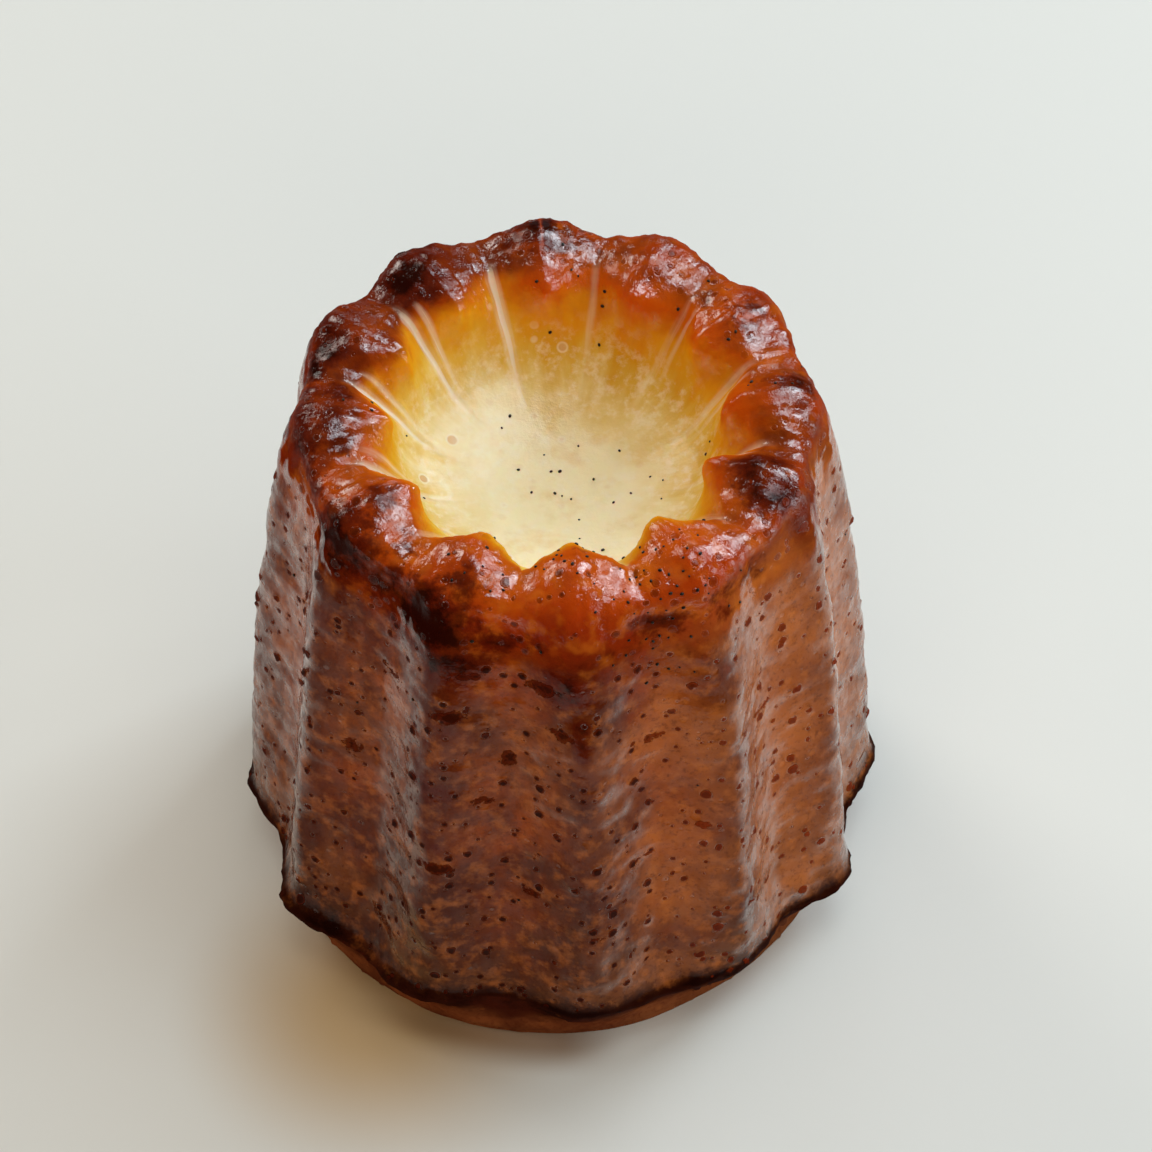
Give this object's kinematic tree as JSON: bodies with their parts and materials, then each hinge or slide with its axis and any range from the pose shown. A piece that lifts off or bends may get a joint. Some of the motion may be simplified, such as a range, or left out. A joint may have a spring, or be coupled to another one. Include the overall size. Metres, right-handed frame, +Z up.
{
  "type": "canele",
  "caption": "Small fluted cake with a dark glossy caramel crust, rounded lobes round its top and a pale sunken custard middle, standing on its wider end.",
  "frame": {"origin": "middle of the flat underside that the cake rests on", "axes": "+Z up through the cake, from the wider end to the narrower one; -Y is the side that faces the viewer of the picture; +X is the viewer's right"},
  "size_m": [0.0555, 0.0552, 0.0541],
  "materials": {
    "crust": "glossy caramelised crust, dark brown on the side, orange on the lobes, pale in the middle"
  },
  "bodies": {
    "root": {"canele": "crust"}
  },
  "joints": []
}
